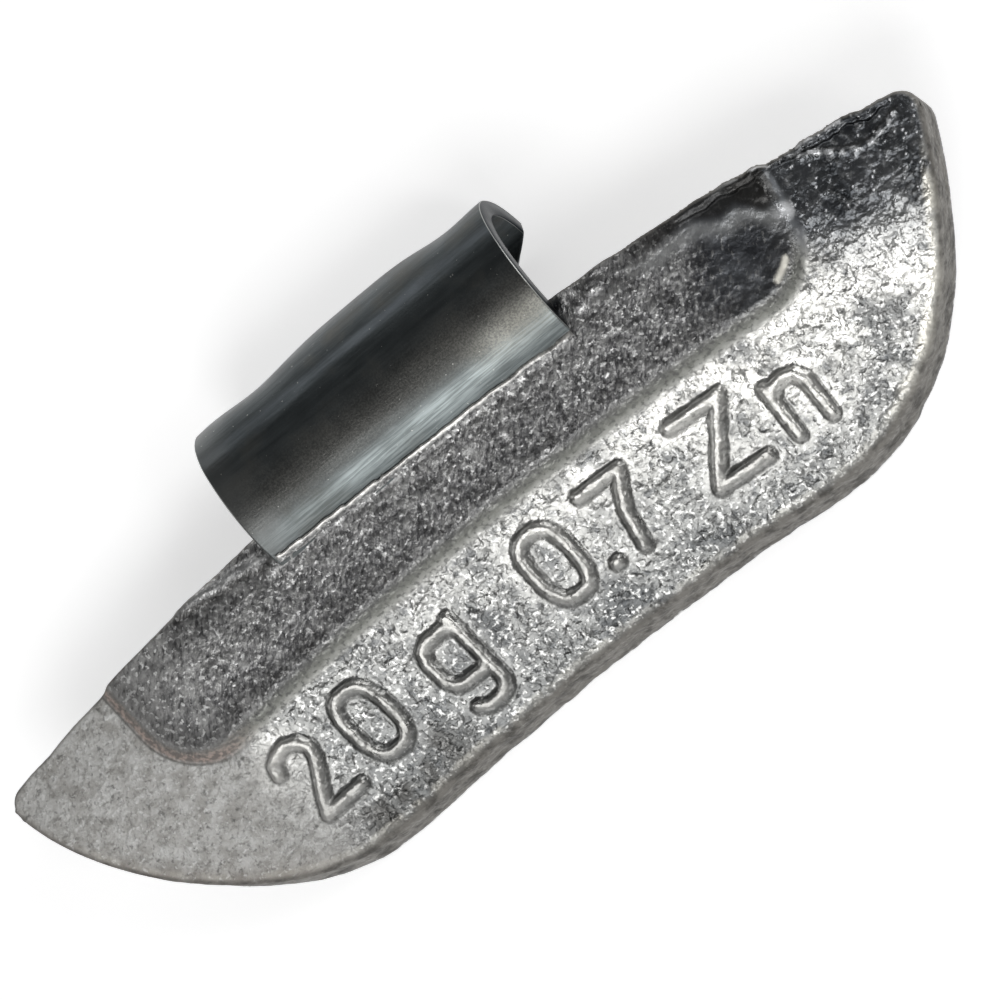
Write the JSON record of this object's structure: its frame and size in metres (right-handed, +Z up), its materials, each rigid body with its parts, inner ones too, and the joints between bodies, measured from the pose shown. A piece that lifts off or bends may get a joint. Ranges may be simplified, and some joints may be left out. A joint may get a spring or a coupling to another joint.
{
  "type": "wheel balance weight",
  "caption": "Curved cast-zinc balance weight with a hooked spring-steel clip that grips the flange of a steel car wheel rim",
  "frame": {"origin": "centre of the footprint at table height, with the weight lying on its back", "axes": "+X runs along the weight, the way the marks read; +Y runs across it towards the clip; +Z is up, out of the marked front"},
  "size_m": [0.0614, 0.0238, 0.0087],
  "materials": {
    "cast_zinc": "as cast, grainy and dull, with bright worn high points",
    "spring_steel": "dark passivated steel with a satin sheen"
  },
  "bodies": {
    "root": {"zinc_casting": "cast_zinc", "steel_clip": "spring_steel"}
  },
  "joints": []
}
